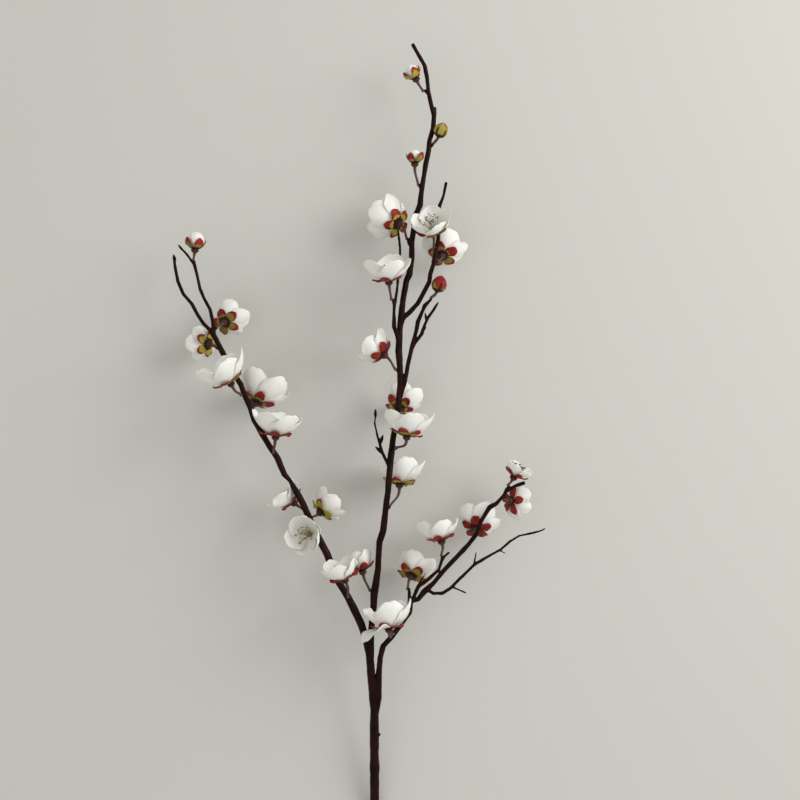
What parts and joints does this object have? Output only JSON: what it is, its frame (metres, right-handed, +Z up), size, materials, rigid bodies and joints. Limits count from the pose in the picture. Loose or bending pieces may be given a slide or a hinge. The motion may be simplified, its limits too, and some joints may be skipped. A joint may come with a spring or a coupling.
{
  "type": "cherry blossom sprig",
  "caption": "Cut woody sprig lying on its side, forking into slender dark twigs that carry cupped white five-petalled blossoms and buds in red and green calyxes.",
  "frame": {"origin": "middle of the underside, on the surface that the sprig lies on", "axes": "+Y from the cut end towards the tip, +X to the right seen from above, +Z up from the surface"},
  "size_m": [0.244, 0.5456, 0.0677],
  "materials": {
    "bark": "dark purple-brown bark with a soft satin sheen",
    "sepal": "matt plant skin, deep red with olive green patches",
    "petal": "ivory white petals, soft and faintly silky",
    "stamen": "pale filaments with ochre anthers, matt"
  },
  "bodies": {
    "root": {"branch": "bark", "calyx_leader_1": "sepal", "calyx_leader_10": "sepal", "calyx_leader_2": "sepal", "calyx_leader_3": "sepal", "calyx_leader_4": "sepal", "calyx_leader_5": "sepal", "calyx_leader_6": "sepal", "calyx_leader_7": "sepal", "calyx_leader_8": "sepal", "calyx_leader_9": "sepal", "calyx_left_1": "sepal", "calyx_left_10": "sepal", "calyx_left_2": "sepal", "calyx_left_3": "sepal", "calyx_left_4": "sepal", "calyx_left_5": "sepal", "calyx_left_6": "sepal", "calyx_left_7": "sepal", "calyx_left_8": "sepal", "calyx_left_9": "sepal", "calyx_right_1": "sepal", "calyx_right_2": "sepal", "calyx_right_3": "sepal", "calyx_right_4": "sepal", "calyx_right_5": "sepal", "calyx_right_6": "sepal", "calyx_twig_1": "sepal", "calyx_twig_2": "sepal", "calyx_twig_3": "sepal", "corolla_leader_1": "petal", "corolla_leader_10": "petal", "corolla_leader_3": "petal", "corolla_leader_4": "petal", "corolla_leader_5": "petal", "corolla_leader_6": "petal", "corolla_leader_7": "petal", "corolla_leader_8": "petal", "corolla_leader_9": "petal", "corolla_left_1": "petal", "corolla_left_10": "petal", "corolla_left_2": "petal", "corolla_left_3": "petal", "corolla_left_4": "petal", "corolla_left_5": "petal", "corolla_left_6": "petal", "corolla_left_7": "petal", "corolla_left_8": "petal", "corolla_left_9": "petal", "corolla_right_1": "petal", "corolla_right_2": "petal", "corolla_right_3": "petal", "corolla_right_4": "petal", "corolla_right_5": "petal", "corolla_right_6": "petal", "corolla_twig_1": "petal", "corolla_twig_2": "petal", "stamens_left_9": "stamen", "stamens_right_1": "stamen", "stamens_twig_1": "stamen"}
  },
  "joints": []
}
